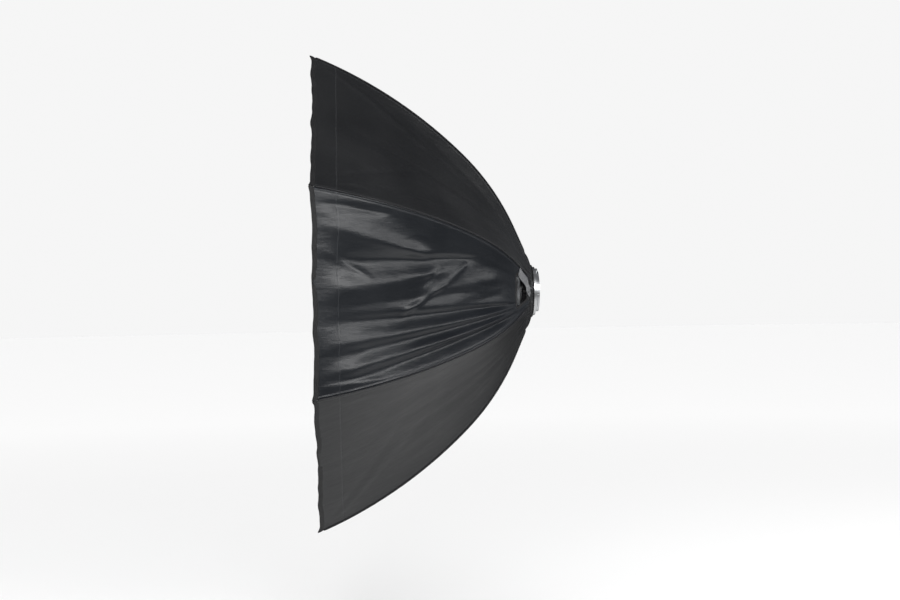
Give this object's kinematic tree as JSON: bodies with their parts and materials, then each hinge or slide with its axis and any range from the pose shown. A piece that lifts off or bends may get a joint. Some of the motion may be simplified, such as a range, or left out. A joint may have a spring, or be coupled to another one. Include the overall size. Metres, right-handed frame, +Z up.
{
  "type": "octagonal studio softbox",
  "caption": "Octagonal cloth softbox on spring rods, with a turning speed ring, three-lug bayonet, inner baffle and lift-off front diffuser.",
  "frame": {"origin": "on the softbox's axis, in the plane where the bayonet's shoulder seats on a strobe", "axes": "+X along the axis, back towards the strobe; the open front faces -X; +Z up, with a flat of the octagon on top"},
  "size_m": [0.5466, 1.1094, 1.1094],
  "materials": {
    "core_metal": "turned aluminium, clear anodised",
    "ring_metal": "black anodised aluminium",
    "rod_steel": "drawn spring steel",
    "screw_steel": "zinc plated",
    "knob_plastic": "moulded black plastic",
    "shell_cloth": "coated black nylon, silver inside",
    "binding_cloth": "black binding tape",
    "tape": "hook and loop tape",
    "strap_webbing": "grey webbing",
    "elastic": "woven elastic",
    "white_cloth": "white translucent diffusion cloth"
  },
  "bodies": {
    "mount": {"bayonet_core": "core_metal", "retaining_ring": "core_metal", "retaining_screws": "screw_steel"},
    "softbox": {"rod_ring": "ring_metal", "rod_1": "rod_steel", "rod_2": "rod_steel", "rod_3": "rod_steel", "rod_4": "rod_steel", "rod_5": "rod_steel", "rod_6": "rod_steel", "rod_7": "rod_steel", "rod_8": "rod_steel", "rod_ferrules": "screw_steel", "rod_tip_caps": "knob_plastic", "corner_pockets": "binding_cloth", "gore_top": "shell_cloth", "gore_upper_near": "shell_cloth", "gore_near": "shell_cloth", "gore_lower_near": "shell_cloth", "gore_bottom": "shell_cloth", "gore_lower_far": "shell_cloth", "gore_far": "shell_cloth", "gore_upper_far": "shell_cloth", "seam_piping": "binding_cloth", "front_binding": "binding_cloth", "lip_loop_tape": "tape", "baffle_cloth": "white_cloth", "baffle_hem": "binding_cloth", "baffle_tabs": "elastic", "baffle_clips": "knob_plastic", "collar": "shell_cloth", "collar_elastic": "elastic", "opening_binding_near": "binding_cloth", "opening_binding_far": "binding_cloth", "strap_loop_near": "tape", "strap_loop_far": "tape"},
    "lock": {"lock_stud": "screw_steel", "lock_knob": "knob_plastic"},
    "strap_near": {"strap_near": "strap_webbing", "strap_hook_near": "tape"},
    "strap_far": {"strap_far": "strap_webbing", "strap_hook_far": "tape"},
    "diffuser": {"diffuser_cloth": "white_cloth", "diffuser_border": "binding_cloth", "diffuser_hook_tape": "tape"}
  },
  "joints": [
    {"name": "ring_spin", "type": "hinge", "parent": "mount", "child": "softbox", "pos_m": [0, 0, 0], "axis": [1, 0, 0], "continuous": true},
    {"name": "lock_turn", "type": "hinge", "parent": "softbox", "child": "lock", "pos_m": [-0.033, -0.08, 0], "axis": [0, -1, 0], "range_deg": [0, 720]},
    {"name": "strap_near_peel", "type": "hinge", "parent": "softbox", "child": "strap_near", "pos_m": [-0.04991, -0.14842, 0.047], "axis": [-0.2645, -0.5488, -0.7931], "range_deg": [0, 110]},
    {"name": "strap_far_peel", "type": "hinge", "parent": "softbox", "child": "strap_far", "pos_m": [-0.04991, 0.14842, -0.047], "axis": [-0.2645, 0.5488, 0.7931], "range_deg": [0, 110]},
    {"name": "diffuser_lift_off", "type": "slide", "parent": "softbox", "child": "diffuser", "axis": [-1, 0, 0], "range_m": [0, 0.15]}
  ]
}
